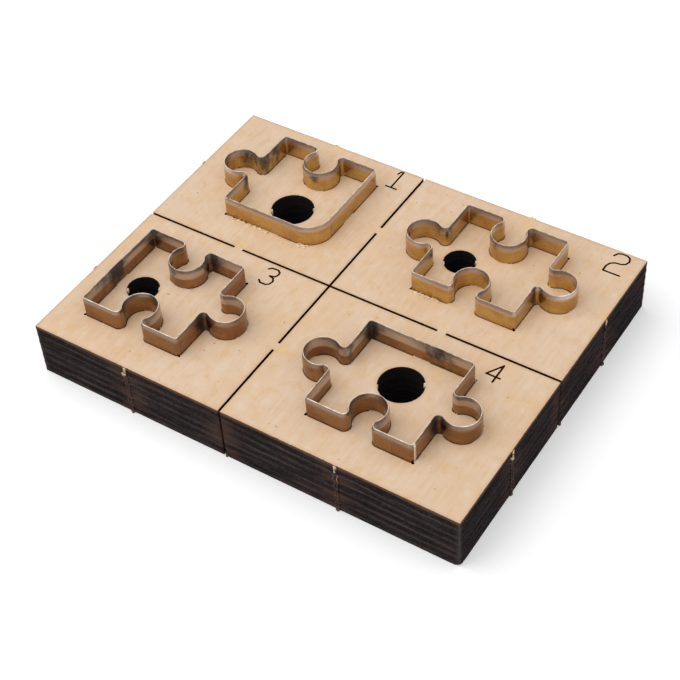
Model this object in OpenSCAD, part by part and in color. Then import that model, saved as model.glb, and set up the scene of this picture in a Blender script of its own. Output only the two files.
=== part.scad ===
// Steel rule die: four jigsaw outlines of bent, bevelled steel rule pressed into a laser-cut plywood board.
// The origin is at the middle of the board's underside, +X along the long edge, +Y to the back, +Z to the cutting edge.

/* [Board] */
// Length of the board along X
board_l = 130.5; // [124:0.5:180]
// Width of the board along Y
board_w = 103; // [100:0.5:150]
// Thickness of the plywood
board_t = 17.4; // [15:0.1:20]
// Size of the chip off the bottom front right corner
corner_chip = 1.3; // [0.4:0.1:3]

/* [Snap lines] */
// Place along X of the cut that parts the left blocks from the right ones
split_x = -4.8; // [-5.6:0.1:-4]
// Place along Y of the cut that parts the front blocks from the back ones
split_y = 0.5; // [-0.5:0.1:1.5]
// Width of a laser-cut line
kerf_w = 0.7; // [0.4:0.05:1]
// Length of the uncut wood that holds two blocks together
snap_bridge = 2.6; // [1.5:0.1:5]
// How far the stub of a snapped holding tab stands proud of the board's edge
stub_out = 0.3; // [0.2:0.1:1.5]
// Width of such a stub
stub_w = 1.2; // [1:0.1:5]

/* [Steel rule] */
// Thickness of the strip, two points
rule_t = 0.71; // [0.5:0.01:1.05]
// Height of the strip from its foot to its cutting edge
rule_h = 23.8; // [22:0.1:26]
// Height of the centre bevel
bevel_h = 1.1; // [0.6:0.1:2]
// Gap on each side between the strip and its slot
slot_clear = 0.05; // [0.02:0.01:0.15]
// Gap between the two butted ends of a strip
butt_gap = 0.1; // [0.05:0.05:0.5]
// Centreline radius of a tight corner bend
corner_r = 0.8; // [0.6:0.1:2]
// Centreline radius of the corner piece's round corner
round_corner_r = 6.8; // [3:0.1:10]

/* [Rule bridges] */
// Width of the uncut wood that crosses a slot
bridge_w = 5; // [3:0.5:6]
// Gap between a bridge and each end of the notch over it
notch_side_clear = 0.25; // [0.1:0.05:0.6]
// Gap between the top of a bridge and the notch over it
notch_top_clear = 0.2; // [0.1:0.05:0.6]

/* [Puzzle outline] */
// Side of the square body of a puzzle piece, on the strip's centreline
body_side = 31; // [28:0.5:33]
// Centreline radius of a tab's or socket's round head
knob_r = 4.9; // [4.4:0.1:5.4]
// Distance of the head's centre from the side of the body
knob_out = 5; // [4.5:0.1:5.5]
// Centreline radius of the bends at the neck
neck_r = 1.4; // [1:0.1:1.8]

/* [Layout] */
// Place along Y of the two back outlines
back_row_y = 26.2; // [25:0.2:27.4]
// Place along Y of the two front outlines
front_row_y = -25.6; // [-26.6:0.2:-24]
// Place along X of the two right outlines
right_column_x = 30.6; // [29:0.2:31.6]
// Place along X of the corner piece
corner_piece_x = -30.8; // [-32:0.2:-30]
// Place along X of the left edge piece
left_piece_x = -40.6; // [-42:0.2:-39]

/* [Push-out holes] */
// Diameter of the holes in the corner piece and the top edge piece
big_hole_d = 12.5; // [8:0.5:13]
// Diameter of the holes in the middle piece and the left edge piece
small_hole_d = 9.2; // [6:0.2:9.6]
// How far in front of its piece's centre the corner piece's hole lies
corner_hole_front = 4.7; // [4:0.1:5.6]
// How far behind its piece's centre the top edge piece's hole lies
top_hole_back = 4.9; // [3.5:0.1:5.5]
// How far left of its piece's centre the middle piece's hole lies
middle_hole_left = 9.4; // [8:0.1:9.6]
// How far left of its piece's centre the left edge piece's hole lies
left_hole_left = 8; // [6:0.1:9]

/* [Hidden] */
$fn = 64;

// Largest turn between two sections along a bend, in degrees
bend_step = 10;
// How far a cut runs past the face that it opens
past = 1;

// A side of an outline is flat, or carries a tab or a socket
FLAT = 0;
TAB = 1;
SOCKET = -1;

// Each outline: its centre, its front, right, back and left sides, and the corner radius that ends each side
square_corners = [corner_r, corner_r, corner_r, corner_r];
corner_outline = [[corner_piece_x, back_row_y], [FLAT, FLAT, SOCKET, TAB],
                  [round_corner_r, corner_r, corner_r, corner_r]];
middle_outline = [[right_column_x, back_row_y], [SOCKET, TAB, SOCKET, TAB], square_corners];
left_outline = [[left_piece_x, front_row_y], [SOCKET, TAB, SOCKET, FLAT], square_corners];
top_outline = [[right_column_x, front_row_y], [SOCKET, TAB, FLAT, TAB], square_corners];
outlines = [corner_outline, middle_outline, left_outline, top_outline];

// The neck bends touch both the side and the head, which sets where they start and how far they turn
neck_out = sqrt(pow(knob_r + neck_r, 2) - pow(knob_out - neck_r, 2));
neck_turn = 90 + atan2(knob_out - neck_r, neck_out);
knob_reach = knob_out + knob_r;

// The section of the strip and of its slot, as half-widths across the centreline
half_t = rule_t / 2;
half_slot = half_t + slot_clear;
notch_w = bridge_w + 2 * notch_side_clear;
notch_top = board_t + notch_top_clear;
// Depth across the strip of the box that makes a bridge, enough for the bow of a head
bridge_depth = 4;

// Middles of the four blocks, where bridges and stubs lie
left_mid = (split_x - board_l / 2) / 2;
right_mid = (split_x + board_l / 2) / 2;
front_mid = (split_y - board_w / 2) / 2;
back_mid = (split_y + board_w / 2) / 2;

// One side as a bending programme: each step feeds the strip, then turns it through an angle on a radius
function side_steps(kind, start_r, end_r) =
    kind == FLAT ? [[body_side - start_r - end_r, 90, end_r]]
    : [[body_side / 2 - neck_out - start_r, -kind * neck_turn, neck_r],
       [0, kind * 2 * neck_turn, knob_r],
       [0, -kind * neck_turn, neck_r],
       [body_side / 2 - neck_out - end_r, 90, end_r]];

// The whole programme, side by side from the right side round to the front
function outline_steps(outline) =
    [for (k = [1 : 4]) each side_steps(outline[1][k % 4], outline[2][k - 1], outline[2][k % 4])];

// A place on the strip is [x, y, heading]
function fed(at, run) = [at.x + run * cos(at.z), at.y + run * sin(at.z), at.z];
function turned(at, angle, r) =
    let (s = sign(angle) * r, end = at.z + angle)
    [at.x + s * (sin(end) - sin(at.z)), at.y - s * (cos(end) - cos(at.z)), end];

// Every place where the strip gets a section, from one end round to the other
function strip_places(steps, at, i = 0) =
    i == len(steps) ? [at]
    : let (step = steps[i],
           bend = fed(at, step[0]),
           parts = ceil(abs(step[1]) / bend_step))
      concat(step[0] > 0 ? [at] : [],
             [for (k = [0 : parts - 1]) turned(bend, step[1] * k / parts, step[2])],
             strip_places(steps, turned(bend, step[1], step[2]), i + 1));

// A strip starts just after the front right corner, heading to the back
function outline_places(outline) =
    strip_places(outline_steps(outline), [body_side / 2, outline[2][0] - body_side / 2, 90]);

// A point beside a place, on its left where the distance is positive
function beside(at, d) = [at.x - d * sin(at.z), at.y + d * cos(at.z)];

// A section swept along the places, as one closed strip with flat ends
module swept_strip(places, section) {
    n = len(section);
    last = len(places) - 1;
    points = [for (at = places) for (p = section) [each beside(at, p.x), p.y]];
    walls = [for (i = [0 : last - 1]) for (k = [0 : n - 1])
             [i * n + k, (i + 1) * n + k, (i + 1) * n + (k + 1) % n, i * n + (k + 1) % n]];
    start_end = [for (k = [0 : n - 1]) k];
    far_end = [for (k = [n - 1 : -1 : 0]) last * n + k];
    polyhedron(points, concat(walls, [start_end, far_end]), convexity = 12);
}

// The closed loop of a slot, seen from above
module slot_loop(outline) {
    places = outline_places(outline);
    n = len(places) - 1;
    outer = [for (i = [0 : n - 1]) beside(places[i], -half_slot)];
    inner = [for (i = [0 : n - 1]) beside(places[i], half_slot)];
    polygon(concat(outer, inner), [[for (i = [0 : n - 1]) i], [for (i = [0 : n - 1]) n + i]]);
}

// One block over the middle of each side, where the strip stands at that middle
module at_side_middles(outline, width, height) {
    for (k = [0 : 3])
        rotate([0, 0, 90 * k])
            translate([0, -body_side / 2 - outline[1][k] * knob_reach, height / 2 - past])
                cube([width, bridge_depth, height], center = true);
}

// A bent, bevelled strip with its bridge notches, closed but for the gap between its ends
module bent_rule(outline) {
    shoulder = rule_h - bevel_h;
    section = [[-half_t, 0], [half_t, 0], [half_t, shoulder], [0, rule_h], [-half_t, shoulder]];
    loop = outline_places(outline);
    places = concat([fed(loop[0], butt_gap)], [for (i = [1 : len(loop) - 1]) loop[i]]);
    translate(outline[0])
        difference() {
            swept_strip(places, section);
            at_side_middles(outline, notch_w, notch_top + past);
        }
}

// The slot of one rule, right through the board and broken by its bridges
module slot_cut(outline) {
    translate([each outline[0], -past])
        difference() {
            linear_extrude(board_t + 2 * past)
                slot_loop(outline);
            at_side_middles(outline, bridge_w, board_t + 4 * past);
        }
}

// One snap line along X through the origin, broken by a bridge at each given place
module snap_line(length, bridges) {
    difference() {
        cube([length + 2 * past, kerf_w, board_t + 2 * past], center = true);
        for (at = bridges)
            translate([at, 0, 0])
                cube([snap_bridge, kerf_w + 2 * past, board_t + 4 * past], center = true);
    }
}

// The cross of snap lines that parts the board into four blocks
module snap_cross() {
    translate([0, split_y, board_t / 2])
        snap_line(board_l, [left_mid, right_mid]);
    translate([split_x, 0, board_t / 2])
        rotate([0, 0, 90])
            snap_line(board_w, [front_mid, back_mid]);
}

module push_out_hole(d, x, y) {
    translate([x, y, -past])
        cylinder(d = d, h = board_t + 2 * past);
}

module push_out_holes() {
    push_out_hole(big_hole_d, corner_piece_x, back_row_y - corner_hole_front);
    push_out_hole(big_hole_d, right_column_x, front_row_y + top_hole_back);
    push_out_hole(small_hole_d, right_column_x - middle_hole_left, back_row_y);
    push_out_hole(small_hole_d, left_piece_x - left_hole_left, front_row_y);
}

// The blank board with the stubs of its eight snapped holding tabs
module board_blank() {
    translate([-board_l / 2, -board_w / 2, 0])
        cube([board_l, board_w, board_t]);
    for (x = [left_mid, right_mid])
        translate([x - stub_w / 2, -board_w / 2 - stub_out, 0])
            cube([stub_w, board_w + 2 * stub_out, board_t]);
    for (y = [front_mid, back_mid])
        translate([-board_l / 2 - stub_out, y - stub_w / 2, 0])
            cube([board_l + 2 * stub_out, stub_w, board_t]);
}

// The chip off the bottom front right corner
module corner_chip_cut() {
    translate([board_l / 2, -board_w / 2, 0])
        rotate([0, 0, 45])
            rotate([45, 0, 0])
                cube([2 * board_t, corner_chip, corner_chip], center = true);
}

module die_board() {
    color("BurlyWood")
        difference() {
            board_blank();
            snap_cross();
            push_out_holes();
            for (outline = outlines)
                slot_cut(outline);
            corner_chip_cut();
        }
}

module corner_rule() {
    color("DimGray")
        bent_rule(corner_outline);
}

module middle_rule() {
    color("Silver")
        bent_rule(middle_outline);
}

module left_edge_rule() {
    color("Gray")
        bent_rule(left_outline);
}

module top_edge_rule() {
    color("DarkGray")
        bent_rule(top_outline);
}

die_board();
corner_rule();
middle_rule();
left_edge_rule();
top_edge_rule();
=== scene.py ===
"""Looks of a steel rule die: bent, bevelled rules in a laser-cut birch plywood board."""
import math
import random

import bmesh
import bpy
from mathutils import Matrix, Vector, noise as lattice


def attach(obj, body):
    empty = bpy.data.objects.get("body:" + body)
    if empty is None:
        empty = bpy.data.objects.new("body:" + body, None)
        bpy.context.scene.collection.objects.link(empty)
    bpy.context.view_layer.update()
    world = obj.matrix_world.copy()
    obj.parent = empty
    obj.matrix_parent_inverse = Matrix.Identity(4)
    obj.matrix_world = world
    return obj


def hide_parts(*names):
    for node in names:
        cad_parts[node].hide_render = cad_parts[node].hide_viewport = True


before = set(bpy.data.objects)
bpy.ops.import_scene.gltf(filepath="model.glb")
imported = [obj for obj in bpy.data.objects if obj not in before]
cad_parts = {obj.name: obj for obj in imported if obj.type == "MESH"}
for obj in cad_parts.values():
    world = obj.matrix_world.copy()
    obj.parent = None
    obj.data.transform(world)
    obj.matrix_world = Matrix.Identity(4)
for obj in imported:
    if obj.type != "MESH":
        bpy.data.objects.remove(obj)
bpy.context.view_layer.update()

# Sizes and places are in millimetres, and the scene is in metres
MM = 0.001

# Board, its snap lines and the stubs of its holding tabs
BOARD_L, BOARD_W, BOARD_T = 130.5, 103.0, 17.4
SPLIT_X, SPLIT_Y = -4.8, 0.5
KERF_W, SNAP_BRIDGE = 0.7, 2.6
STUB_OUT, STUB_W = 0.3, 1.2
LEFT_MID, RIGHT_MID = (SPLIT_X - BOARD_L / 2) / 2, (SPLIT_X + BOARD_L / 2) / 2
FRONT_MID, BACK_MID = (SPLIT_Y - BOARD_W / 2) / 2, (SPLIT_Y + BOARD_W / 2) / 2

# Burnt plies of the sides: how far even and odd plies stand out, and how much that wanders
PLY_COUNT = 13
PLY_T = BOARD_T / PLY_COUNT
PLY_STAND, LEAST_STAND = (0.095, 0.040), 0.012
STAND_WAVE, STAND_FRAY, PLY_WAVER = 0.045, 0.030, 0.16
# Levels of a ply in shares of its thickness, those at its glue lines, and how those stand out
PLY_SHARES, GLUE_SHARES, GLUE_STAND = (0.0, 0.10, 0.36, 0.62, 0.88, 0.97), (0.0, 0.97), 0.4
COLUMN_STEP = 0.6
# The chipped corner: its reach along a side, and how many levels it takes off
CHIP_REACH, CHIP_LEVELS = 1.9, 9

# Steel rule
RULE_T, RULE_H, BEVEL_H = 0.71, 23.8, 1.1
EDGE_FLAT, SLOT_CLEAR, BUTT_GAP = 0.10, 0.05, 0.1
HALF_SLOT = RULE_T / 2 + SLOT_CLEAR
CORNER_R, ROUND_CORNER_R = 0.8, 6.8
BRIDGE_W, BRIDGE_DEPTH, NOTCH_SIDE, NOTCH_TOP = 5.0, 4.0, 0.25, 0.2
BODY_SIDE, KNOB_R, KNOB_OUT, NECK_R = 31.0, 4.9, 5.0, 1.4
NECK_OUT = math.sqrt((KNOB_R + NECK_R) ** 2 - (KNOB_OUT - NECK_R) ** 2)
NECK_TURN = math.pi / 2 + math.atan2(KNOB_OUT - NECK_R, NECK_OUT)
# Sections along a strip: their steps on the straight and in a bend, and the close ones at its start
FEED_STEP, BEND_STEP = 1.0, math.radians(4)
START_SECTIONS = (BUTT_GAP, 0.35, 0.4)
# Shift of the finish along a strip for each millimetre across it
FACE_SHIFT = 0.3
# Height of the bare ground steel below the cutting edge, inside and outside an outline
INSIDE_BAND = {"corner_rule": 1.9, "middle_rule": 1.9, "left_edge_rule": 2.7, "top_edge_rule": 2.8}
OUTSIDE_BAND = 1.45
# The rule whose butted ends are bare steel painted near-white as a highlight, and how far
BRIGHT_SEAM, SEAM_REACH = "top_edge_rule", 0.3
# Colours of the rule steel, wall, stain and bevel: its own brown, and gold that paints in a warm reflection
# of the board
GOLD_REFLECTION_STEEL = ((0.58, 0.40, 0.16, 1), (0.47, 0.27, 0.095, 1), (0.60, 0.50, 0.44, 1))
BROWN = ((0.330, 0.188, 0.090, 1), (0.235, 0.120, 0.062, 1), (0.33, 0.235, 0.175, 1))
# Soot and painted shade on the rules, strongest in the bends at the necks and corners: place, reach and
# strength
SOOT_AND_SHADE_SPOTS = ((-56.1, -26.8, 6.2, 0.86), (-56.1, -33.0, 8.0, 0.38), (36.0, -10.1, 7.0, 0.65),
           (15.5, -10.5, 5.0, 0.9), (46.5, -31.0, 3.0, 1.0), (-25.0, -31.0, 3.0, 1.0),
           (-35.0, -10.5, 3.5, 0.9), (-56.0, -10.2, 4.0, 0.6), (46.2, 21.0, 2.5, 0.6),
           (-36.0, 34.0, 3.0, 0.7), (-46.5, 20.8, 3.0, 0.6), (35.4, 41.0, 2.5, 0.6),
           (-46.3, 36.0, 7.0, 0.52), (-52.5, 31.0, 7.0, 0.46), (-46.3, 30.6, 4.5, 0.66),
           (15.2, 31.5, 3.5, 0.4), (15.2, -20.3, 3.0, 0.5))

# Outlines: centre, kinds of the front, right, back and left sides, radius of the corner after each
FLAT, TAB, SOCKET = 0, 1, -1
SQUARE = (CORNER_R,) * 4
OUTLINES = {
    "corner_rule": ((-30.8, 26.2), (FLAT, FLAT, SOCKET, TAB), (ROUND_CORNER_R,) + (CORNER_R,) * 3),
    "middle_rule": ((30.6, 26.2), (SOCKET, TAB, SOCKET, TAB), SQUARE),
    "left_edge_rule": ((-40.6, -25.6), (SOCKET, TAB, SOCKET, FLAT), SQUARE),
    "top_edge_rule": ((30.6, -25.6), (SOCKET, TAB, FLAT, TAB), SQUARE),
}
# Push-out hole in each outline: centre and diameter, and where its slug was broken out
HOLES = (((-30.8, 21.5), 12.5), ((21.2, 26.2), 9.2), ((-48.6, -25.6), 9.2), ((30.6, -20.7), 12.5))
HOLE_STUB_ANGLES = (0.55, math.pi + 0.55)

# Slots: the pit where a tight corner is open, and the burnt lip by distance and depth of burn
PIT_R, PIT_OUT, PIT_DEPTH, PIT_SIDES = 0.44, 0.22, 3.0, 10
LIP_ROWS = ((0.0, 1.0), (0.12, 0.6), (0.40, 0.0))
LIP_LIFT, LIP_CLEAR = 0.008, 0.1
# Torn veneer outside the front of a rule: from and to, from the outline's middle
FRAYED = (("corner_rule", -15.2, -1.0), ("corner_rule", 9.0, 12.5), ("middle_rule", -15.2, -7.0))
# Share of a strip's sections with a lifted fibre, at a bridge and elsewhere, and fibres at a back stub
FIBRES_AT_BRIDGE, FIBRES_ELSEWHERE, FIBRES_AT_STUB = 0.22, 0.08, 9

# Station numbers burnt into the board: middle and height of each digit
STATIONS = {"1": (-11.4, 47.1, 7.4), "2": (58.8, 46.6, 8.2), "3": (-21.1, -4.5, 6.4),
            "4": (49.3, -5.1, 6.4)}
STROKE_W, STROKE_DEPTH, STROKE_STEPS = 0.58, 0.5, 6
# Strokes and middle of a digit, in shares of its height
DIGIT_MIDDLE = (0.3, 0.5)
DIGIT_STROKES = {
    "1": [[(0.14, 0.82), (0.2, 0.98), (0.3, 1.0), (0.3, 0.0)], [(0.08, 0.0), (0.54, 0.0)]],
    "2": [[(0.02, 0.8), (0.1, 0.95), (0.22, 1.0), (0.42, 1.0), (0.55, 0.92), (0.6, 0.76), (0.54, 0.6),
           (0.42, 0.53), (0.2, 0.5), (0.06, 0.4), (0.0, 0.24), (0.0, 0.0), (0.6, 0.0)]],
    "3": [[(0.0, 0.86), (0.12, 0.98), (0.42, 1.0), (0.56, 0.9), (0.58, 0.72), (0.5, 0.58), (0.28, 0.53)],
          [(0.28, 0.53), (0.5, 0.47), (0.6, 0.3), (0.54, 0.1), (0.4, 0.0), (0.14, 0.0), (0.0, 0.12)]],
    "4": [[(0.44, 1.0), (0.0, 0.3), (0.62, 0.3)], [(0.44, 1.0), (0.44, 0.0)]],
}
# How far a cutter stands above the face
CUT_PAST = 1.0

# Warm stains on the face: place and radius
STAINS = ((37.0, -12.6, 3.2), (29.5, 31.4, 2.6), (-23.4, -33.6, 1.6), (17.0, 9.6, 3.0),
          (-42.0, 10.0, 2.4), (31.0, 47.0, 3.4), (-35.0, 3.0, 2.2), (-2.5, -25.5, 1.8),
          (-2.5, 26.0, 2.0), (30.2, 3.0, 2.2), (-32.7, 50.2, 2.2), (32.2, 50.4, 2.2))

# Depth in metres of the relief that a material adds
BUMP_DEPTH = 0.0001
# Seeds of the random splinters at the stubs, on the face and in the holes
STUB_SEED, FIBRE_SEED, RIM_SEED = 11, 5, 3

# Camera, fitted to the board's corners in the 680 by 680 photograph
AIM = Vector((8.56, -15.17, BOARD_T)) * MM
CAMERA_AZIMUTH, CAMERA_ELEVATION, CAMERA_ROLL = map(math.radians, (35.39, 46.28, -4.0))
CAMERA_DISTANCE = 419.15 * MM
PHOTO_SIDE, FOCAL_PIXELS, SENSOR = 680, 1596.4, 36.0
# Floor, in metres: half its side, and the gap below the board
FLOOR_HALF, FLOOR_GAP = 3.0, 0.00002
# Glow that lifts the lit floor to white, beside the object and far from the lamps
FLOOR_LIFT, FAR_LIFT = 0.24, 0.62
# Strength of the surround as a light, and lamps: place and size in metres, and power
SURROUND = 0.48
LAMPS = {"key": ((-0.28, -0.22, 0.62), 0.8, 3.1), "fill": ((0.40, 0.10, 0.55), 0.8, 0.95)}

VECTOR, COLOUR, VALUE = "NodeSocketVector", "NodeSocketColor", "NodeSocketFloat"


# Node helpers

def add_node(tree, kind, inputs=None, **settings):
    """A new node with its settings, and its inputs linked or set."""
    made = tree.nodes.new(kind)
    for key, value in settings.items():
        setattr(made, key, value)
    for key, value in (inputs or {}).items():
        if isinstance(value, bpy.types.NodeSocket):
            tree.links.new(value, made.inputs[key])
        else:
            made.inputs[key].default_value = value
    return made


def calc(tree, operation, a, b=0.0, c=0.0):
    return add_node(tree, "ShaderNodeMath", {0: a, 1: b, 2: c}, operation=operation).outputs[0]


def times(tree, a, b):
    return calc(tree, "MULTIPLY", a, b)


def plus(tree, a, b):
    return calc(tree, "ADD", a, b)


def minus(tree, a, b):
    return calc(tree, "SUBTRACT", a, b)


def size_of(tree, value):
    return calc(tree, "ABSOLUTE", value)


def over(tree, value, limit):
    """One where a value is over a limit, and nothing elsewhere."""
    return calc(tree, "GREATER_THAN", value, limit)


def scaled(tree, value, by, onto):
    """A value times a factor, added onto another."""
    return calc(tree, "MULTIPLY_ADD", value, by, onto)


def vector_calc(tree, operation, a, b=(0.0, 0.0, 0.0), out=0):
    return add_node(tree, "ShaderNodeVectorMath", {0: a, 1: b}, operation=operation).outputs[out]


def fade(tree, value, start, end, low=0.0, high=1.0):
    """Smooth step of a value from low at start to high at end."""
    made = add_node(tree, "ShaderNodeMapRange", {0: value, 1: start, 2: end, 3: low, 4: high},
                    interpolation_type="SMOOTHSTEP")
    return made.outputs[0]


def blend(tree, factor, a, b, blend_type="MIX"):
    made = add_node(tree, "ShaderNodeMix", {0: factor, 6: a, 7: b}, data_type="RGBA", blend_type=blend_type)
    return made.outputs[2]


def tint(tree, colour, mask, start, end, strength, tone):
    """A colour turned towards a tone as a mask goes from start to end, up to a strength."""
    return blend(tree, fade(tree, mask, start, end, 0.0, strength), colour, tone)


def noise(tree, vector, scale, stretch=(1.0, 1.0, 1.0), detail=3.0, roughness=0.55):
    """Noise over millimetres, drawn out along an axis where stretch is small."""
    drawn = vector_calc(tree, "MULTIPLY", vector, stretch)
    made = add_node(tree, "ShaderNodeTexNoise",
                    {"Vector": drawn, "Scale": scale, "Detail": detail, "Roughness": roughness})
    return made.outputs["Fac"]


def axes_of(tree, vector):
    return add_node(tree, "ShaderNodeSeparateXYZ", {0: vector}).outputs


def least(tree, values):
    """The smallest of several values."""
    smallest = values[0]
    for value in values[1:]:
        smallest = calc(tree, "MINIMUM", smallest, value)
    return smallest


def off_middle(tree, value):
    """How far a value lies from the middle of its whole step, 0 to a half."""
    return size_of(tree, minus(tree, calc(tree, "FRACT", value), 0.5))


def new_group(name, inputs):
    """A node group with named inputs that puts out a colour, a roughness and a height."""
    tree = bpy.data.node_groups.new(name, "ShaderNodeTree")
    for label, kind in inputs.items():
        tree.interface.new_socket(label, in_out="INPUT", socket_type=kind)
    for label, kind in (("Colour", COLOUR), ("Roughness", VALUE), ("Height", VALUE)):
        tree.interface.new_socket(label, in_out="OUTPUT", socket_type=kind)
    return tree, tree.nodes.new("NodeGroupInput").outputs, tree.nodes.new("NodeGroupOutput").inputs


def close_group(tree, out, colour, roughness, height):
    """Links what a group puts out."""
    for label, value in (("Colour", colour), ("Roughness", roughness), ("Height", height)):
        tree.links.new(value, out[label])
    return tree


def use_group(tree, group, inputs):
    """A group placed in a material, with its inputs set, and its outputs."""
    return add_node(tree, "ShaderNodeGroup", inputs, node_tree=group).outputs


def new_material(name):
    """A material, its node tree and its shader."""
    material = bpy.data.materials.new(name)
    material.use_nodes = True
    return material, material.node_tree, material.node_tree.nodes["Principled BSDF"]


def millimetres(tree):
    """Object coordinates in millimetres."""
    place = add_node(tree, "ShaderNodeTexCoord").outputs["Object"]
    return vector_calc(tree, "MULTIPLY", place, (1000.0, 1000.0, 1000.0))


def finish_shader(tree, shader, colour, roughness, height, bump):
    """Links colour, roughness and a bump height to the shader."""
    tree.links.new(colour, shader.inputs["Base Color"])
    tree.links.new(roughness, shader.inputs["Roughness"])
    relief = add_node(tree, "ShaderNodeBump", {"Strength": bump, "Distance": BUMP_DEPTH, "Height": height})
    tree.links.new(relief.outputs[0], shader.inputs["Normal"])


# Shared finishes

def birch_veneer_group():
    """Bare rotary-cut birch: soft mottle, long grain lines, short pith flecks."""
    tree, given, out = new_group("birch veneer", {"Place": VECTOR})
    place = given["Place"]
    mottle = noise(tree, place, 0.06, (1.0, 0.6, 1.0))
    grain = noise(tree, place, 1.1, (1.0, 0.07, 1.0), 4.0)
    fine = noise(tree, place, 5.0, (1.0, 0.10, 1.0), 2.0)
    blotch = noise(tree, place, 0.35, (1.0, 0.7, 1.0), 4.0)
    fleck = noise(tree, place, 1.5, (1.0, 0.28, 1.0), 1.0)
    speck = noise(tree, place, 0.9, detail=0.0)
    colour = tint(tree, (0.765, 0.545, 0.360, 1), mottle, 0.32, 0.68, 1.0, (0.785, 0.590, 0.430, 1))
    colour = tint(tree, colour, blotch, 0.50, 0.66, 0.80, (0.750, 0.515, 0.310, 1))
    colour = tint(tree, colour, blotch, 0.46, 0.32, 0.70, (0.800, 0.620, 0.460, 1))
    colour = tint(tree, colour, grain, 0.50, 0.72, 0.30, (0.690, 0.480, 0.310, 1))
    colour = tint(tree, colour, grain, 0.48, 0.30, 0.30, (0.830, 0.650, 0.480, 1))
    colour = tint(tree, colour, fine, 0.55, 0.75, 0.20, (0.640, 0.440, 0.280, 1))
    colour = tint(tree, colour, fleck, 0.72, 0.80, 0.30, (0.500, 0.310, 0.180, 1))
    colour = tint(tree, colour, speck, 0.850, 0.865, 0.60, (0.300, 0.190, 0.110, 1))
    rough = fade(tree, grain, 0.3, 0.7, 0.52, 0.66)
    return close_group(tree, out, colour, rough, plus(tree, fine, grain))


def laser_char_group():
    """A laser-cut plywood wall: crossed plies, glue lines, burnt fibre and upright scan lines."""
    tree, given, out = new_group("laser char", {"Place": VECTOR, "Stripe": VALUE})
    place = given["Place"]
    wander = noise(tree, place, 0.12, (1.0, 1.0, 0.2), 2.0)
    level = scaled(tree, wander, 0.6, minus(tree, axes_of(tree, place)["Z"], 0.3))
    plies = times(tree, level, PLY_COUNT / BOARD_T)
    glue = fade(tree, off_middle(tree, plies), 0.34, 0.48)
    cross_grain = fade(tree, off_middle(tree, scaled(tree, plies, 0.5, 0.25)), 0.20, 0.32)
    fibre = noise(tree, place, 0.9, (0.10, 0.10, 1.6), 4.0, 0.65)
    scan = noise(tree, place, 2.4, (1.0, 1.0, 0.06), 2.0)
    patch = noise(tree, place, 0.10, (1.0, 1.0, 1.6))
    streaks = noise(tree, place, 0.40, (0.16, 0.16, 2.2), 3.0, 0.6)
    speckle = noise(tree, place, 1.7, roughness=0.7)
    colour = tint(tree, (0.0180, 0.0128, 0.0126, 1), fibre, 0.36, 0.66, 1.0, (0.066, 0.047, 0.046, 1))
    colour = tint(tree, colour, patch, 0.48, 0.68, 0.60, (0.080, 0.046, 0.041, 1))
    colour = tint(tree, colour, scan, 0.52, 0.80, 0.25, (0.072, 0.062, 0.063, 1))
    colour = tint(tree, colour, speckle, 0.52, 0.70, 0.40, (0.095, 0.078, 0.075, 1))
    colour = tint(tree, colour, speckle, 0.46, 0.32, 0.50, (0.0080, 0.0070, 0.0070, 1))
    dark = times(tree, cross_grain, given["Stripe"])
    dark = times(tree, dark, fade(tree, streaks, 0.36, 0.56, 0.50, 0.95))
    colour = blend(tree, dark, colour, (0.0075, 0.0066, 0.0066, 1))
    colour = tint(tree, colour, streaks, 0.54, 0.66, 0.75, (0.0060, 0.0052, 0.0052, 1))
    colour = blend(tree, times(tree, glue, 0.55), colour, (0.0050, 0.0042, 0.0042, 1))
    rough = fade(tree, fibre, 0.3, 0.7, 0.85, 0.65)
    ridge = minus(tree, plus(tree, fibre, times(tree, scan, 0.5)), glue)
    return close_group(tree, out, colour, rough, ridge)


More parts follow.
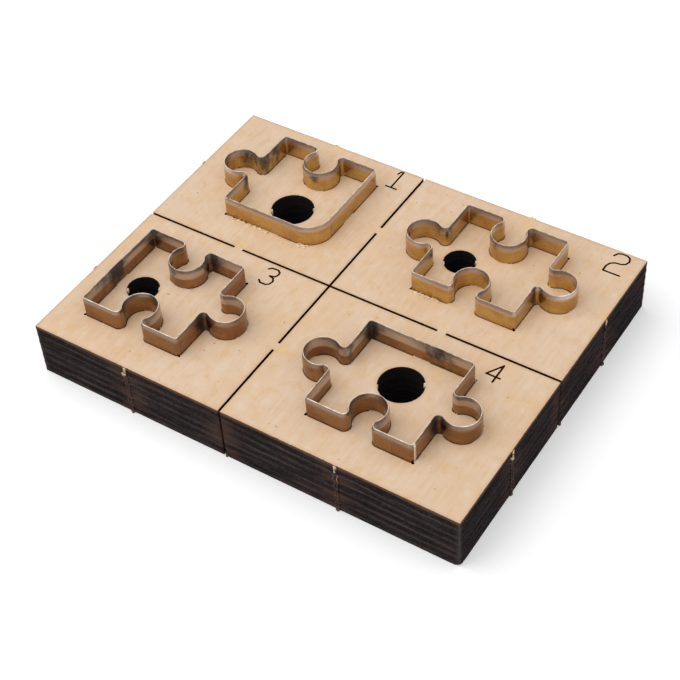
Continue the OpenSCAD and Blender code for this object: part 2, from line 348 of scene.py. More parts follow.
def rule_surface_group():
    """Drawn rule steel: streaks along the strip, oil stain, a bright ground band at the bevel with a
    painted highlight along its edge, and soot with painted shade in the bends.
    """
    tree, given, out = new_group("rule surface", {"Along": VECTOR, "Wall": COLOUR, "Stain": COLOUR,
                                                  "Bevel": COLOUR, "Band": VALUE, "SootAndShade": VALUE})
    along, band = given["Along"], given["Band"]
    up = axes_of(tree, along)["Y"]
    streak = noise(tree, along, 1.6, (0.05, 1.0, 1.0), 4.0, 0.6)
    cloud = noise(tree, along, 0.20, (0.8, 1.1, 1.0))
    run_down = noise(tree, along, 0.8, (1.0, 0.06, 1.0), 4.0, 0.6)
    wall = tint(tree, given["Wall"], cloud, 0.40, 0.66, 0.8, given["Stain"])
    wall = tint(tree, wall, streak, 0.52, 0.80, 0.25, given["Bevel"])
    wall = tint(tree, wall, run_down, 0.54, 0.72, 0.45, (0.20, 0.115, 0.05, 1))
    wall = tint(tree, wall, run_down, 0.42, 0.28, 0.35, (0.66, 0.47, 0.26, 1))

    # Cutting edge: worn steel with a painted highlight, near-white in stretches and near-black in a few
    glint_and_wear = noise(tree, along, 0.45, (1.0, 0.0, 1.0))
    tip = tint(tree, (0.60, 0.52, 0.46, 1), glint_and_wear, 0.40, 0.62, 1.0, (0.95, 0.87, 0.79, 1))
    tip = tint(tree, tip, glint_and_wear, 0.37, 0.32, 1.0, (0.07, 0.06, 0.06, 1))
    grind = noise(tree, along, 4.5, (1.0, 0.12, 1.0), 2.0)
    inside = OUTSIDE_BAND + 0.1
    bevel = tint(tree, given["Bevel"], band, inside, inside + 0.2, 1.0, (0.54, 0.45, 0.39, 1))
    bevel = tint(tree, bevel, up, RULE_H - BEVEL_H, RULE_H - 0.35, 0.30, (0.15, 0.12, 0.10, 1))
    bevel = blend(tree, fade(tree, grind, 0.45, 0.75, 0.0, 0.4), bevel, (0.70, 0.70, 0.70, 1), "MULTIPLY")
    bevel = tint(tree, bevel, up, RULE_H - 0.28, RULE_H - 0.10, 1.0, tip)

    ragged = scaled(tree, noise(tree, along, 0.25, (0.5, 1.0, 1.0), 2.0), 0.5, up)
    ground = fade(tree, minus(tree, ragged, minus(tree, RULE_H + 0.25, band)), -0.75, 0.12)
    steel = blend(tree, ground, wall, bevel)
    # Painted highlight: near-white steel at the butted ends of one rule, where its seam is bare
    steel = tint(tree, steel, band, RULE_H - 2.0, RULE_H - 1.0, 1.0, (0.95, 0.92, 0.88, 1))
    # Soot with painted shade in the bends, darkening the steel to near-black in blotches
    soot_and_shade_noise = noise(tree, along, 0.55, (1.0, 0.5, 1.0), 4.0, 0.65)
    thick = times(tree, given["SootAndShade"], fade(tree, up, BOARD_T, RULE_H - 1.0, 0.65, 1.1))
    soot_and_shade_level = times(tree, fade(tree, scaled(tree, soot_and_shade_noise, 1.1, thick), 0.68, 1.25), 0.9)
    colour = blend(tree, soot_and_shade_level, steel, (0.055, 0.050, 0.050, 1))
    rough = plus(tree, fade(tree, streak, 0.3, 0.7, 0.20, 0.34), times(tree, ground, 0.10))
    rough = scaled(tree, soot_and_shade_level, 0.25, rough)
    return close_group(tree, out, colour, rough, plus(tree, streak, times(tree, cloud, 2.0)))


# Materials

def plywood_material(veneer, char):
    """Pale veneer on the two faces, char on every cut wall, scorch where a cut meets a face."""
    material, tree, shader = new_material("laser-cut birch plywood")
    place = millimetres(tree)
    near = board_distances(tree, place)
    facing = axes_of(tree, add_node(tree, "ShaderNodeNewGeometry").outputs["Normal"])
    sideways = size_of(tree, facing["X"])
    wood = use_group(tree, veneer, {"Place": place})
    burnt = use_group(tree, char, {"Place": place, "Stripe": fade(tree, sideways, 0.4, 0.8, 0.85, 0.45)})
    ragged = scaled(tree, noise(tree, place, 0.8), 0.5, -0.25)
    from_middle = size_of(tree, minus(tree, axes_of(tree, place)["Z"], BOARD_T / 2))
    level = over(tree, size_of(tree, facing["Z"]), 0.5)
    skin = times(tree, level, over(tree, from_middle, BOARD_T / 2 - 0.1))
    cut = minus(tree, 1.0, skin)

    wall = wall_colour(tree, place, near, ragged, burnt["Colour"], fade(tree, sideways, 0.4, 0.8))
    colour = blend(tree, skin, wall, face_colour(tree, place, near, ragged, wood["Colour"]))
    rough = plus(tree, times(tree, skin, wood["Roughness"]), times(tree, cut, burnt["Roughness"]))
    grain = times(tree, wood["Height"], 0.15)
    height = plus(tree, times(tree, skin, grain), times(tree, cut, burnt["Height"]))
    finish_shader(tree, shader, colour, rough, height, 0.6)
    shader.inputs["Specular IOR Level"].default_value = 0.0
    return material


def board_distances(tree, place):
    """How far a point of the board lies from what was cut or broken there."""
    x, y, _ = axes_of(tree, place)
    short_side = minus(tree, BOARD_L / 2, size_of(tree, x))
    long_side = minus(tree, BOARD_W / 2, size_of(tree, y))
    edge = least(tree, [short_side, long_side])
    cross = least(tree, [snap_line_distance(tree, x, y, SPLIT_Y, (LEFT_MID, RIGHT_MID)),
                         snap_line_distance(tree, y, x, SPLIT_X, (FRONT_MID, BACK_MID))])
    holes = least(tree, [minus(tree, flat_distance(tree, place, centre), size / 2)
                         for centre, size in HOLES])
    tab = least(tree, [flat_distance(tree, place, point) for _, point in tab_places()])
    snapped = [size_of(tree, minus(tree, axis, line)) for axis, line in ((x, SPLIT_X), (y, SPLIT_Y))]
    return {"edge": edge, "corner": calc(tree, "MAXIMUM", short_side, long_side), "cross": cross,
            "holes": holes, "cut": least(tree, [edge, cross, holes]), "tab": tab,
            "break": least(tree, [tab, *snapped])}


def snap_line_distance(tree, along, across, place, bridges):
    """Distance on the face to a snap line, and far away on its bridges."""
    side = minus(tree, size_of(tree, minus(tree, across, place)), KERF_W / 2)
    to_bridge = least(tree, [size_of(tree, minus(tree, along, at)) for at in bridges])
    on_bridge = calc(tree, "LESS_THAN", to_bridge, SNAP_BRIDGE / 2 + 0.1)
    return scaled(tree, on_bridge, 10.0, side)


def flat_distance(tree, place, point):
    """Distance to a point as seen from above."""
    level = vector_calc(tree, "MULTIPLY", place, (1.0, 1.0, 0.0))
    return vector_calc(tree, "DISTANCE", level, (point[0], point[1], 0.0), "Value")


def tab_places():
    """Where a holding tab was snapped: outward direction and middle of each stub."""
    return ([((0, s), (x, s * BOARD_W / 2)) for s in (-1, 1) for x in (LEFT_MID, RIGHT_MID)]
            + [((s, 0), (s * BOARD_L / 2, y)) for s in (-1, 1) for y in (FRONT_MID, BACK_MID)])


def stain_depth(tree, place):
    """How strongly a point of the face is tinted by the nearest warm stain."""
    clear = [times(tree, -1.0, fade(tree, flat_distance(tree, place, (x, y)), radius, radius * 0.2))
             for x, y, radius in STAINS]
    return times(tree, -1.0, least(tree, clear))


def face_colour(tree, place, near, ragged, veneer):
    """Sanded veneer with warm stains, toasted and scorched where a cut comes through it."""
    at_back = over(tree, axes_of(tree, place)["Y"], BACK_MID)
    at_back = times(tree, at_back, fade(tree, near["tab"], 3.4, 0.3))
    halo = times(tree, at_back, fade(tree, noise(tree, place, 0.6, (1.0, 0.6, 1.0)), 0.36, 0.56))
    stained = times(tree, stain_depth(tree, place), fade(tree, noise(tree, place, 0.5), 0.35, 0.65))
    warm = calc(tree, "MAXIMUM", halo, times(tree, stained, 0.75))
    face = blend(tree, warm, veneer, (0.84, 0.58, 0.27, 1))
    to_cut = plus(tree, near["cut"], ragged)
    face = tint(tree, face, to_cut, 1.1, 0.1, 0.28, (0.52, 0.33, 0.18, 1))
    face = tint(tree, face, to_cut, 0.08, -0.14, 1.0, (0.085, 0.045, 0.026, 1))
    lip = add_node(tree, "ShaderNodeAttribute", attribute_name="Scorch").outputs["Fac"]
    lip = scaled(tree, times(tree, ragged, lip), 1.2, lip)
    face = tint(tree, face, lip, 0.1, 0.9, 0.55, (0.40, 0.23, 0.11, 1))
    return tint(tree, face, lip, 0.50, 0.85, 0.85, (0.075, 0.042, 0.026, 1))


def wall_colour(tree, place, near, ragged, char, sooty):
    """Char with soot and grit, singed near a break, a painted pale highlight along the vertical corners,
    painted shade in the holes and brown in a narrow cut.
    """
    z = axes_of(tree, place)["Z"]
    wall = blend(tree, 1.0, char, (0.0085, 0.0075, 0.0078, 1), "ADD")
    wall = blend(tree, sooty, wall, (0.74, 0.77, 0.82, 1), "MULTIPLY")
    gritty = noise(tree, place, 1.5, (1.0, 1.0, 0.8), 4.0, 0.75)
    grit = scaled(tree, sooty, 0.45, 0.55)
    pale = times(tree, grit, fade(tree, gritty, 0.50, 0.66, 0.0, 0.55))
    wall = blend(tree, pale, wall, (0.068, 0.061, 0.062, 1))
    black = times(tree, grit, fade(tree, gritty, 0.48, 0.36, 0.0, 0.70))
    wall = blend(tree, black, wall, (0.0085, 0.0080, 0.0085, 1))
    singed = fade(tree, noise(tree, place, 0.5, (0.25, 0.25, 1.3)), 0.44, 0.60)
    heat = times(tree, fade(tree, near["break"], 8.0, 0.6, 0.0, 0.65), singed)
    wall = blend(tree, heat, wall, (0.098, 0.054, 0.044, 1))
    # Painted highlight down the vertical corners of the board: greyer, then paler close in
    corner_highlight = scaled(tree, ragged, 1.6, near["corner"])
    wall = tint(tree, wall, corner_highlight, 1.5, 0.2, 0.45, (0.070, 0.062, 0.063, 1))
    wall = tint(tree, wall, corner_highlight, 0.40, 0.10, 0.35, (0.135, 0.122, 0.120, 1))

    high = scaled(tree, ragged, 0.8, z)
    rim = fade(tree, high, BOARD_T - 0.95, BOARD_T - 0.35, 0.0, 0.85)
    rim = times(tree, rim, calc(tree, "LESS_THAN", near["edge"], 0.4))
    wall = blend(tree, rim, wall, (0.165, 0.080, 0.047, 1))
    in_kerf = times(tree, fade(tree, near["cross"], 0.25, 0.05), over(tree, near["edge"], 0.6))
    in_kerf = times(tree, in_kerf, fade(tree, z, BOARD_T - 3.0, BOARD_T - 1.5))
    wall = blend(tree, in_kerf, wall, (0.056, 0.0090, 0.0015, 1))
    groove = times(tree, over(tree, z, BOARD_T - STROKE_DEPTH - 0.1), over(tree, near["cut"], 0.6))
    wall = blend(tree, groove, wall, (0.056, 0.0110, 0.0015, 1))
    # Painted shade: the char darkened on the walls of the push-out holes
    wall = tint(tree, wall, near["holes"], 1.0, 0.2, 0.75, (0.014, 0.012, 0.0125, 1))

    torn = noise(tree, place, 1.1, (1.0, 1.0, 0.7))
    browned = noise(tree, place, 0.8, (1.0, 1.0, 0.5))
    broken = tint(tree, wall, browned, 0.46, 0.60, 1.0, (0.080, 0.040, 0.030, 1))
    fresh = scaled(tree, torn, 7.0, z)
    broken = tint(tree, broken, fresh, BOARD_T + 1.4, BOARD_T + 2.6, 1.0, (0.80, 0.66, 0.50, 1))
    tear = scaled(tree, torn, 0.9, near["tab"])
    return tint(tree, wall, tear, STUB_W / 2 + 0.45, STUB_W / 2 + 0.25, 1.0, broken)


def snapped_wood_material(veneer, char):
    """Freshly broken plywood: pale yellow fibre, browned in places and darker on the short sides."""
    material, tree, shader = new_material("snapped plywood")
    place = millimetres(tree)
    axes = axes_of(tree, place)
    wood = use_group(tree, veneer, {"Place": place})
    burnt = use_group(tree, char, {"Place": place, "Stripe": 1.0})
    warm = blend(tree, 0.8, wood["Colour"], (1.0, 0.90, 0.70, 1), "MULTIPLY")
    brown = blend(tree, 0.65, burnt["Colour"], (0.130, 0.068, 0.046, 1))
    on_short_side = over(tree, size_of(tree, axes["X"]), BOARD_L / 2 - 1.0)
    brown = blend(tree, times(tree, on_short_side, 0.75), brown, (0.020, 0.014, 0.013, 1))
    high = scaled(tree, noise(tree, place, 0.7, (1.0, 1.0, 1.4)), -14.0, axes["Z"])
    colour = tint(tree, warm, high, BOARD_T - 9.0, BOARD_T - 11.0, 1.0, brown)
    finish_shader(tree, shader, colour, wood["Roughness"], wood["Height"], 0.4)
    return material


def torn_veneer_material(veneer):
    """Clean torn fibre of the face veneer, paler and yellower than the sanded face."""
    material, tree, shader = new_material("torn birch veneer")
    wood = use_group(tree, veneer, {"Place": millimetres(tree)})
    pale = blend(tree, 0.8, wood["Colour"], (0.97, 0.83, 0.56, 1))
    finish_shader(tree, shader, pale, wood["Roughness"], wood["Height"], 0.3)
    return material


def rule_material(name, surface, wall, stain, bevel):
    """Steel rule: along the strip in the first UV axis, up it in the second, both in millimetres."""
    material, tree, shader = new_material(name)
    along = add_node(tree, "ShaderNodeUVMap", uv_map="Along").outputs[0]
    soot_and_shade = add_node(tree, "ShaderNodeAttribute", attribute_name="SootAndShade").outputs["Fac"]
    band = add_node(tree, "ShaderNodeAttribute", attribute_name="Band").outputs["Fac"]
    finish = use_group(tree, surface, {"Along": along, "Wall": wall, "Stain": stain, "Bevel": bevel,
                                       "Band": band, "SootAndShade": soot_and_shade})
    finish_shader(tree, shader, finish["Colour"], finish["Roughness"], finish["Height"], 0.12)
    shader.inputs["Metallic"].default_value = 1.0
    return material


def seen_directly(tree):
    """One for what the camera sees, straight or in a reflection, and nothing for light on the object."""
    path = add_node(tree, "ShaderNodeLightPath").outputs
    mirrored = calc(tree, "MAXIMUM", path["Is Glossy Ray"], path["Is Transmission Ray"])
    return calc(tree, "MAXIMUM", path["Is Camera Ray"], mirrored)


def floor_material():
    """Pale studio paper that stays white to the camera but keeps the shadow."""
    material, tree, shader = new_material("studio paper")
    place = add_node(tree, "ShaderNodeTexCoord").outputs["Object"]
    tooth = add_node(tree, "ShaderNodeTexNoise", {"Vector": place, "Scale": 900.0, "Detail": 2.0})
    colour = tint(tree, (0.93, 0.93, 0.93, 1), tooth.outputs["Fac"], 0.3, 0.7, 1.0, (0.96, 0.96, 0.96, 1))
    tree.links.new(colour, shader.inputs["Base Color"])
    shader.inputs["Roughness"].default_value = 0.9
    shader.inputs["Specular IOR Level"].default_value = 0.0
    shader.inputs["Emission Color"].default_value = (1.0, 1.0, 1.0, 1.0)
    lift = fade(tree, vector_calc(tree, "LENGTH", place, out="Value"), 0.3, 1.4, FLOOR_LIFT, FAR_LIFT)
    tree.links.new(times(tree, seen_directly(tree), lift), shader.inputs["Emission Strength"])
    return material


# Bent rules

def side_steps(kind, start_r, end_r):
    """One side as a bending programme: feed, then turn through an angle on a radius."""
    if kind == FLAT:
        return [(BODY_SIDE - start_r - end_r, math.pi / 2, end_r)]
    return [(BODY_SIDE / 2 - NECK_OUT - start_r, -kind * NECK_TURN, NECK_R),
            (0.0, kind * 2 * NECK_TURN, KNOB_R),
            (0.0, -kind * NECK_TURN, NECK_R),
            (BODY_SIDE / 2 - NECK_OUT - end_r, math.pi / 2, end_r)]


def fed(at, run):
    """A place on the strip, as (x, y, heading), after a straight run."""
    x, y, heading = at
    return x + run * math.cos(heading), y + run * math.sin(heading), heading


def turned(at, angle, radius):
    """A place on the strip after a bend."""
    x, y, heading = at
    reach, end = math.copysign(radius, angle), heading + angle
    across = math.sin(end) - math.sin(heading)
    ahead = math.cos(end) - math.cos(heading)
    return x + reach * across, y - reach * ahead, end


def strip_places(kinds, radii):
    """Every section along a strip, as (x, y, heading, millimetres from the start)."""
    steps = [step for k in range(1, 5) for step in side_steps(kinds[k % 4], radii[k - 1], radii[k % 4])]
    at = (BODY_SIDE / 2, radii[0] - BODY_SIDE / 2, math.pi / 2)
    gone, places = 0.0, []
    for feed, angle, radius in steps:
        parts = max(1, round(feed / FEED_STEP)) if feed > 0 else 0
        places += [(*fed(at, feed * k / parts), gone + feed * k / parts) for k in range(parts)]
        at = fed(at, feed)
        gone += feed
        turns, bend = math.ceil(abs(angle) / BEND_STEP), abs(angle) * radius
        places += [(*turned(at, angle * k / turns, radius), gone + bend * k / turns) for k in range(turns)]
        at = turned(at, angle, radius)
        gone += bend
    places.append((*at, gone))
    start = places[0][:3]
    return [(*fed(start, run), run) for run in START_SECTIONS] + places[1:]


def beside(centre, place, d):
    """A point beside a section of a strip, on its left where the distance is positive."""
    x, y, heading, _ = place
    return centre[0] + x - d * math.sin(heading), centre[1] + y + d * math.cos(heading)


def metres(point, up):
    """A point seen from above, at a height, in the scene's metres."""
    return point[0] * MM, point[1] * MM, up * MM


def over_bridge(place, after, kinds):
    """True where the strip passes over uncut wood, midway between two sections."""
    x, y = (place[0] + after[0]) / 2, (place[1] + after[1]) / 2
    for k, kind in enumerate(kinds):
        angle = math.pi / 2 * k
        across = x * math.cos(angle) + y * math.sin(angle)
        out = x * math.sin(angle) - y * math.cos(angle)
        middle = BODY_SIDE / 2 + kind * (KNOB_OUT + KNOB_R)
        if abs(across) < BRIDGE_W / 2 + NOTCH_SIDE and abs(out - middle) < BRIDGE_DEPTH / 2:
            return True
    return False


def soot_and_shade_at(point):
    """How much soot and painted shade darken the steel at a point."""
    return max(weight * max(0.0, 1.0 - math.dist(point, spot) / reach) for *spot, reach, weight in SOOT_AND_SHADE_SPOTS)


def bent_rule(name, material):
    """A bevelled strip swept along its bends, notched over the bridges of its slot."""
    centre, kinds, radii = OUTLINES[name]
    places = strip_places(kinds, radii)
    total, spans = places[-1][3], len(places) - 1
    half, tip, shoulder, notch = RULE_T / 2, EDGE_FLAT / 2, RULE_H - BEVEL_H, BOARD_T + NOTCH_TOP
    section = [(-half, 0.0), (-half, notch), (-half, shoulder), (-tip, RULE_H),
               (tip, RULE_H), (half, shoulder), (half, notch), (half, 0.0)]
    count = len(section)
    mesh = bmesh.new()
    along = mesh.loops.layers.uv.new("Along")
    band, soot_and_shade = mesh.verts.layers.float.new("Band"), mesh.verts.layers.float.new("SootAndShade")
    rings = []
    for place in places:
        soot_and_shade_level = soot_and_shade_at(beside(centre, place, 0.0))
        bare_highlit_seam = name == BRIGHT_SEAM and min(place[3] - BUTT_GAP, total - place[3]) < SEAM_REACH
        ring = []
        for d, up in section:
            vert = mesh.verts.new(metres(beside(centre, place, d), up))
            vert[band] = RULE_H if bare_highlit_seam else INSIDE_BAND[name] if d > 0 else OUTSIDE_BAND
            vert[soot_and_shade] = soot_and_shade_level
            ring.append(vert)
        rings.append(ring)
    bridged = [over_bridge(a, b, kinds) for a, b in zip(places, places[1:])]

    def face(corners):
        made = mesh.faces.new([rings[i][k] for i, k in corners])
        made.smooth = True
        for loop, (i, k) in zip(made.loops, corners):
            loop[along].uv = (places[i][3] + FACE_SHIFT * section[k][0], section[k][1])

    for i in range(spans):
        low, high = (1, count - 2) if bridged[i] else (0, count - 1)
        for k in range(low, high):
            face([(i, k), (i + 1, k), (i + 1, k + 1), (i, k + 1)])
        face([(i, high), (i + 1, high), (i + 1, low), (i, low)])
        if i and bridged[i] != bridged[i - 1]:
            face([(i, k) for k in (0, 1, count - 2, count - 1)])
    for i in (0, spans):
        face([(i, k) for k in range(count)])
    bmesh.ops.recalc_face_normals(mesh, faces=mesh.faces)
    finished_mesh(name + "_strip", mesh, material, 12, replaced=name)


def linked(name, mesh):
    """A bmesh made into an object of the scene."""
    data = bpy.data.meshes.new(name)
    mesh.to_mesh(data)
    mesh.free()
    made = bpy.data.objects.new(name, data)
    bpy.context.scene.collection.objects.link(made)
    return made


def finished_mesh(name, mesh, material, sharp_degrees, replaced=None):
    """A bmesh made into a piece of the object that rides on its one body."""
    piece = linked(name, mesh)
    piece.data.materials.append(material)
    piece.data.set_sharp_from_angle(angle=math.radians(sharp_degrees))
    if replaced:
        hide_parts(replaced)
    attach(piece, "root")
    return piece


# Board

def upright(mesh, outline, low, high):
    """A closed upright prism on an outline seen from above."""
    rings = [[mesh.verts.new(metres(point, up)) for point in outline] for up in (low, high)]
    count = len(outline)
    for k in range(count):
        after = (k + 1) % count
        mesh.faces.new([rings[0][k], rings[0][after], rings[1][after], rings[1][k]])
    mesh.faces.new(rings[0][::-1])
    mesh.faces.new(rings[1])


def round_point(middle, angle, radius):
    return middle + Vector((math.cos(angle), math.sin(angle))) * radius


def stroke_prism(mesh, start, end):
    """A round-ended bar along one burnt stroke, from the groove's floor to above the face."""
    run = end - start
    turn = math.atan2(run.y, run.x)
    outline = [round_point(middle, turn + first + math.pi * k / STROKE_STEPS, STROKE_W / 2)
               for middle, first in ((end, -math.pi / 2), (start, math.pi / 2))
               for k in range(STROKE_STEPS + 1)]
    upright(mesh, outline, BOARD_T - STROKE_DEPTH, BOARD_T + CUT_PAST)


def corner_pit(mesh, middle):
    """The open end of a slot outside a tight bend, where the laser cut a square corner."""
    outline = [round_point(middle, 2 * math.pi * k / PIT_SIDES, PIT_R) for k in range(PIT_SIDES)]
    upright(mesh, outline, BOARD_T - PIT_DEPTH, BOARD_T + CUT_PAST)


def tight_corners(name):
    """Just outside each square corner of an outline."""
    (x, y), _, radii = OUTLINES[name]
    reach = BODY_SIDE / 2 - CORNER_R + (CORNER_R + RULE_T / 2 + PIT_OUT) / math.sqrt(2)
    for (a, b), radius in zip(((1, -1), (1, 1), (-1, 1), (-1, -1)), radii):
        if radius == CORNER_R:
            yield Vector((x + a * reach, y + b * reach))


def board_cutter():
    """The burnt station numbers and the open slot corners, as one cutter."""
    mesh = bmesh.new()
    for name in OUTLINES:
        for middle in tight_corners(name):
            corner_pit(mesh, middle)
    for digit, (x, y, tall) in STATIONS.items():
        for stroke in DIGIT_STROKES[digit]:
            points = [Vector((x + (u - DIGIT_MIDDLE[0]) * tall, y + (v - DIGIT_MIDDLE[1]) * tall))
                      for u, v in stroke]
            for start, end in zip(points, points[1:]):
                stroke_prism(mesh, start, end)
    return linked("board cutter", mesh)


def burnt_board(material):
    """The die board with its numbers burnt in as grooves and its slots open at the corners."""
    sharp = 25
    mesh = bmesh.new()
    mesh.from_mesh(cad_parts["die_board"].data)
    bmesh.ops.remove_doubles(mesh, verts=mesh.verts, dist=0.001 * MM)
    for face in mesh.faces:
        face.smooth = True
    board = finished_mesh("burnt_die_board", mesh, material, sharp, replaced="die_board")
    cutter = board_cutter()
    cut = board.modifiers.new("burnt cuts", "BOOLEAN")
    cut.operation, cut.solver, cut.object, cut.use_self = "DIFFERENCE", "EXACT", cutter, True
    shaped = bpy.data.meshes.new_from_object(board.evaluated_get(bpy.context.evaluated_depsgraph_get()))
    board.modifiers.clear()
    board.data = shaped
    shaped.materials.clear()
    shaped.materials.append(material)
    shaped.set_sharp_from_angle(angle=math.radians(sharp))
    for face in shaped.polygons:
        face.use_smooth = abs(face.normal.z) < 0.5
    bpy.data.objects.remove(cutter)


def slot_scorch(material):
    """The burnt lip of the face along both sides of every slot."""
    mesh = bmesh.new()
    scorch = mesh.verts.layers.float.new("Scorch")
    for name, (centre, kinds, radii) in OUTLINES.items():
        places = strip_places(kinds, radii)
        pits = list(tight_corners(name))
        for side in (-1, 1):
            rows = []
            for place in places:
                row = []
                for out, burn in LIP_ROWS:
                    point = beside(centre, place, side * (HALF_SLOT + out))
                    vert = mesh.verts.new(metres(point, BOARD_T + LIP_LIFT))
                    vert[scorch] = burn
                    row.append(vert)
                rows.append(row)
            for i, (a, b) in enumerate(zip(rows, rows[1:])):
                at_pit = any((a[1].co.xy / MM - pit).length < PIT_R + LIP_CLEAR for pit in pits)
                if not at_pit and not over_bridge(places[i], places[i + 1], kinds):
                    for k in (0, 1):
                        mesh.faces.new([a[k], b[k], b[k + 1], a[k + 1]][::side])
    finished_mesh("scorched_slot_lips", mesh, material, 30)


def edge_sides():
    """The four sides: directions outward and along, length, the board's reach across, and the snap line."""
    return (((0, -1), (1, 0), BOARD_L, BOARD_W, SPLIT_X), ((0, 1), (-1, 0), BOARD_L, BOARD_W, -SPLIT_X),
            ((1, 0), (0, 1), BOARD_W, BOARD_L, SPLIT_Y), ((-1, 0), (0, -1), BOARD_W, BOARD_L, -SPLIT_Y))


def burnt_depth(side, ply, run, up):
    """How far a point of a burnt ply stands out from the board's side."""
    wave = lattice.noise(Vector((run * 0.07, ply * 5.3, side * 17.1)))
    fray = lattice.noise(Vector((run * 0.55, up * 3.1, side * 9.7)))
    return max(LEAST_STAND, PLY_STAND[ply % 2] + STAND_WAVE * wave + STAND_FRAY * fray)


def ply_waver(side, ply, run, up):
    """How far a ply wanders up or down, but for the lowest one and the top of the highest."""
    if ply == 0 or (ply == PLY_COUNT - 1 and up > PLY_T * 0.95):
        return 0.0
    return PLY_WAVER * lattice.noise(Vector((run * 0.05, ply * 2.9, side * 31.0)))


def charred_plies(material):
    """Plies of the cut sides burnt back unevenly, with a fine groove at each glue line."""
    mesh = bmesh.new()
    levels = [(ply, share * PLY_T, share in GLUE_SHARES)
              for ply in range(PLY_COUNT) for share in PLY_SHARES]
    levels.append((PLY_COUNT - 1, PLY_T, True))
    for side, (outward, along, length, depth, line) in enumerate(edge_sides()):
        out, run_way = Vector(outward), Vector(along)
        count = round(length / COLUMN_STEP)
        columns = []
        for i in range(count + 1):
            run = -length / 2 + length * i / count
            column = []
            for ply, up, groove in levels:
                z = ply * PLY_T + up + ply_waver(side, ply, run, up)
                stand = burnt_depth(side, ply, run, z) * (GLUE_STAND if groove else 1.0)
                spot = out * (depth / 2 + stand) + run_way * run
                column.append(mesh.verts.new(metres(spot, z)))
            columns.append((run, column))
        for (run, a), (after, b) in zip(columns, columns[1:]):
            if min(abs(run - line), abs(after - line)) < KERF_W / 2 or run < line < after:
                continue
            at_chip = ((side == 0 and after > length / 2 - CHIP_REACH)
                       or (side == 2 and run < -length / 2 + CHIP_REACH))
            for k in range(CHIP_LEVELS if at_chip else 0, len(a) - 1):
                mesh.faces.new([a[k], b[k], b[k + 1], a[k + 1]])
    for face in mesh.faces:
        face.smooth = True
    finished_mesh("charred_edge_plies", mesh, material, 40)


def splinter(mesh, pick, foot, outward, shift, width, reach, low, high):
    """A broken sliver of ply that stands out of a side, aside from a foot by a shift."""
    out, side = Vector(outward), Vector((-outward[1], outward[0]))
    shape = [(-width / 2, 0.0), (width / 2, 0.0), (width * 0.3, reach * pick.uniform(0.75, 0.95)),
             (pick.uniform(-0.1, 0.1) * width, reach), (-width / 2, reach * pick.uniform(0.5, 0.9))]
    upright(mesh, [Vector(foot) + side * (a + shift) + out * b for a, b in shape], low, high)


def snapped_stubs(material):
    """Broken plies where the holding tabs were snapped off, and at the ends of the snap lines."""
    pick = random.Random(STUB_SEED)
    mesh = bmesh.new()
    for number, (outward, foot) in enumerate(tab_places()):
        for k in range(PLY_COUNT):
            low, high = k * PLY_T + 0.03, (k + 1) * PLY_T - pick.uniform(0.05, 0.6)
            reach = STUB_OUT + pick.uniform(0.02, 0.24)
            if k == 0:
                shift, width = pick.uniform(-0.2, 0.2), pick.uniform(0.8, 1.2)
                splinter(mesh, pick, foot, outward, shift, width, reach + 0.3, low, high)
            elif k >= PLY_COUNT - 2:
                shift, width = pick.uniform(-0.2, 0.2), pick.uniform(0.35, 0.6)
                splinter(mesh, pick, foot, outward, shift, width, reach, low, high)
            else:
                for edge in (-1, 1):
                    shift, width = edge * pick.uniform(0.35, 0.62), pick.uniform(0.15, 0.35)
                    top = high - pick.uniform(0.0, 0.3)
                    splinter(mesh, pick, foot, outward, shift, width, reach, low, top)
        if number % 2 == 0:
            up = BOARD_T - pick.uniform(2.2, 3.0)
            width = pick.uniform(1.0, 1.3)
            splinter(mesh, pick, foot, outward, -0.55, width, STUB_OUT + 0.35, up - 0.45, up + 0.45)
    for outward, _, _, depth, line in edge_sides():
        end = Vector(outward) * depth / 2 + Vector((-outward[1], outward[0])) * line
        reach, top = pick.uniform(0.4, 0.6), pick.uniform(0.8, 1.4)
        splinter(mesh, pick, end, outward, KERF_W / 2 + 0.3, 0.6, reach, 0.02, top)
    bmesh.ops.recalc_face_normals(mesh, faces=mesh.faces)
    finished_mesh("snapped_tab_splinters", mesh, material, 20)


def sliver(mesh, root, turn, rise, length, width):
    """A thin splinter that leaves the wood at its root and curls up to a point."""
    run = Vector((math.cos(turn), math.sin(turn), 0.0)) * length
    side = Vector((-math.sin(turn), math.cos(turn), 0.0)) * width / 2
    lift, thick = Vector((0.0, 0.0, rise)), Vector((0.0, 0.0, width * 0.6))
    spine = ((root, 1.0), (root + run * 0.45 + lift * 0.35, 0.7), (root + run + lift, 0.15))
    corners = [[mesh.verts.new((at + edge * taper) * MM) for edge in (side, thick, -side)]
               for at, taper in spine]
    for a, b in zip(corners, corners[1:]):
        for k in range(3):
            mesh.faces.new([a[k], a[(k + 1) % 3], b[(k + 1) % 3], b[k]])
    mesh.faces.new(corners[0][::-1])
    mesh.faces.new(corners[-1])


def frayed_lip(mesh, pick, centre, start, end):
    """Torn veneer outside a rule's front run and the round corner after it."""
    x, straight = start, BODY_SIDE / 2 - ROUND_CORNER_R
    while x < end:
        out = HALF_SLOT + 0.10 + pick.random() ** 2
        y = -straight - math.sqrt((ROUND_CORNER_R + out) ** 2 - max(0.0, x - straight) ** 2)
        root = Vector((centre[0] + x, centre[1] + y, BOARD_T - 0.05))
        to_left = pick.choice((1, -1)) < 0
        turn = pick.uniform(-0.5, 0.05)
        sliver(mesh, root, math.pi - turn if to_left else turn, pick.uniform(0.25, 0.85),
               pick.uniform(0.4, 1.0), pick.uniform(0.30, 0.60))
        x += pick.uniform(0.06, 0.28)


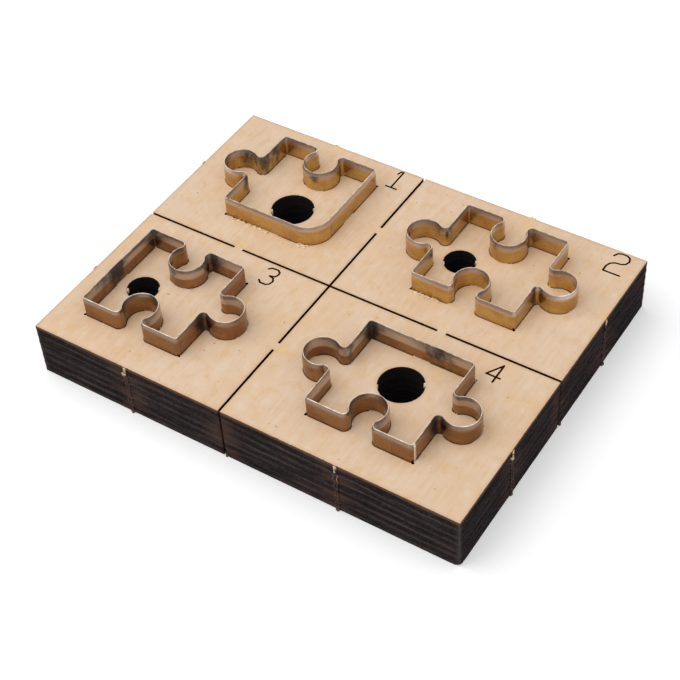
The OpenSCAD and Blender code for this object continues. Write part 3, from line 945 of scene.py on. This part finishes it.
def raised_fibres(material):
    """Short splinters lifted along the slots, mostly at their bridges, and at the back side's stubs."""
    pick = random.Random(FIBRE_SEED)
    mesh = bmesh.new()
    for centre, kinds, radii in OUTLINES.values():
        for place in strip_places(kinds, radii):
            share = FIBRES_AT_BRIDGE if over_bridge(place, place, kinds) else FIBRES_ELSEWHERE
            if pick.random() > share:
                continue
            side = pick.choice((-1, 1))
            d = side * (HALF_SLOT + pick.uniform(0.08, 0.3))
            root = Vector((*beside(centre, place, d), BOARD_T - 0.02))
            turn = place[2] + side * pick.uniform(0.2, 1.3) + pick.choice((0.0, math.pi))
            sliver(mesh, root, turn, pick.uniform(0.02, 0.25), pick.uniform(0.5, 1.5),
                   pick.uniform(0.14, 0.30))
    for name, start, end in FRAYED:
        frayed_lip(mesh, pick, OUTLINES[name][0], start, end)
    for outward, (x, y) in tab_places():
        for _ in range(FIBRES_AT_STUB if outward[1] > 0 else 0):
            root = Vector((x + pick.uniform(-0.9, 0.9), y - pick.uniform(0.1, 1.2), BOARD_T - 0.04))
            turn = math.pi / 2 + pick.uniform(-0.7, 0.7)
            sliver(mesh, root, turn, pick.uniform(0.15, 0.5), pick.uniform(0.5, 1.3),
                   pick.uniform(0.25, 0.5))
    bmesh.ops.recalc_face_normals(mesh, faces=mesh.faces)
    finished_mesh("raised_fibres", mesh, material, 30)


def hole_stubs(material):
    """Slivers left on the walls of the push-out holes where their slugs were broken out."""
    pick = random.Random(RIM_SEED)
    mesh = bmesh.new()
    for centre, size in HOLES:
        for angle in HOLE_STUB_ANGLES:
            for shift in (-0.35, 0.35):
                turn = angle + shift * pick.uniform(0.6, 1.2) / (size / 2)
                inward = Vector((-math.cos(turn), -math.sin(turn)))
                side = Vector((-inward.y, inward.x))
                foot = Vector(centre) - inward * (size / 2 + 0.1)
                width, reach = pick.uniform(0.35, 0.7), pick.uniform(0.35, 0.65)
                shape = [(-width / 2, 0.0), (width / 2, 0.0),
                         (width * 0.2, reach), (-width * 0.4, reach * 0.7)]
                high = BOARD_T - pick.uniform(0.02, 0.25)
                low = high - pick.uniform(0.6, 1.5)
                upright(mesh, [foot + side * a + inward * b for a, b in shape], low, high)
    bmesh.ops.recalc_face_normals(mesh, faces=mesh.faces)
    finished_mesh("hole_rim_stubs", mesh, material, 20)


# Setting

def studio():
    """Pale floor, soft light from above and a white surround."""
    bpy.context.scene.view_settings.view_transform = "Standard"
    mesh = bmesh.new()
    bmesh.ops.create_grid(mesh, x_segments=2, y_segments=2, size=FLOOR_HALF)
    floor = linked("studio_floor", mesh)
    floor.data.materials.append(floor_material())
    floor.location.z = -FLOOR_GAP

    world = bpy.data.worlds.new("studio surround")
    bpy.context.scene.world = world
    world.use_nodes = True
    tree = world.node_tree
    light = tree.nodes["Background"].inputs
    light["Color"].default_value = (1.0, 1.0, 1.0, 1.0)
    tree.links.new(fade(tree, seen_directly(tree), 0.0, 1.0, SURROUND, 1.0), light["Strength"])
    for name, lamp in LAMPS.items():
        soft_lamp(name, *lamp)


def soft_lamp(name, place, size, power):
    """A square lamp that points at the object."""
    lamp = bpy.data.lights.new(name, "AREA")
    lamp.size = size
    lamp.energy = power
    holder = bpy.data.objects.new(name, lamp)
    holder.location = place
    holder.rotation_mode = "QUATERNION"
    holder.rotation_quaternion = (-Vector(place)).to_track_quat("-Z", "Y")
    bpy.context.scene.collection.objects.link(holder)


def camera():
    """The camera at the photograph's viewing angle."""
    lens = bpy.data.cameras.new("camera")
    lens.sensor_width = SENSOR
    lens.lens = FOCAL_PIXELS * SENSOR / PHOTO_SIDE
    lens.clip_start, lens.clip_end = 0.01, 20.0
    holder = bpy.data.objects.new("camera", lens)
    level, rise = math.cos(CAMERA_ELEVATION), math.sin(CAMERA_ELEVATION)
    back = Vector((math.sin(CAMERA_AZIMUTH) * level, -math.cos(CAMERA_AZIMUTH) * level, rise))
    right = Vector((0, 0, 1)).cross(back).normalized()
    up = back.cross(right)
    rolled = right * math.cos(CAMERA_ROLL) + up * math.sin(CAMERA_ROLL)
    turned_up = up * math.cos(CAMERA_ROLL) - right * math.sin(CAMERA_ROLL)
    axes = Matrix((rolled, turned_up, back)).transposed().to_4x4()
    holder.matrix_world = Matrix.Translation(AIM + back * CAMERA_DISTANCE) @ axes
    bpy.context.scene.collection.objects.link(holder)
    bpy.context.scene.camera = holder


def main():
    veneer, char, surface = birch_veneer_group(), laser_char_group(), rule_surface_group()
    plywood = plywood_material(veneer, char)
    burnt_board(plywood)
    slot_scorch(plywood)
    charred_plies(plywood)
    snapped_stubs(snapped_wood_material(veneer, char))
    torn = torn_veneer_material(veneer)
    raised_fibres(torn)
    hole_stubs(torn)
    gold_reflection_steel = rule_material("rule steel with painted gold reflection", surface, *GOLD_REFLECTION_STEEL)
    brown = rule_material("brown rule steel", surface, *BROWN)
    # The back two rules take the gold steel with its painted warm reflection, the front two the plain brown
    for name, steel in zip(OUTLINES, (gold_reflection_steel, gold_reflection_steel, brown, brown)):
        bent_rule(name, steel)
    studio()
    camera()


main()
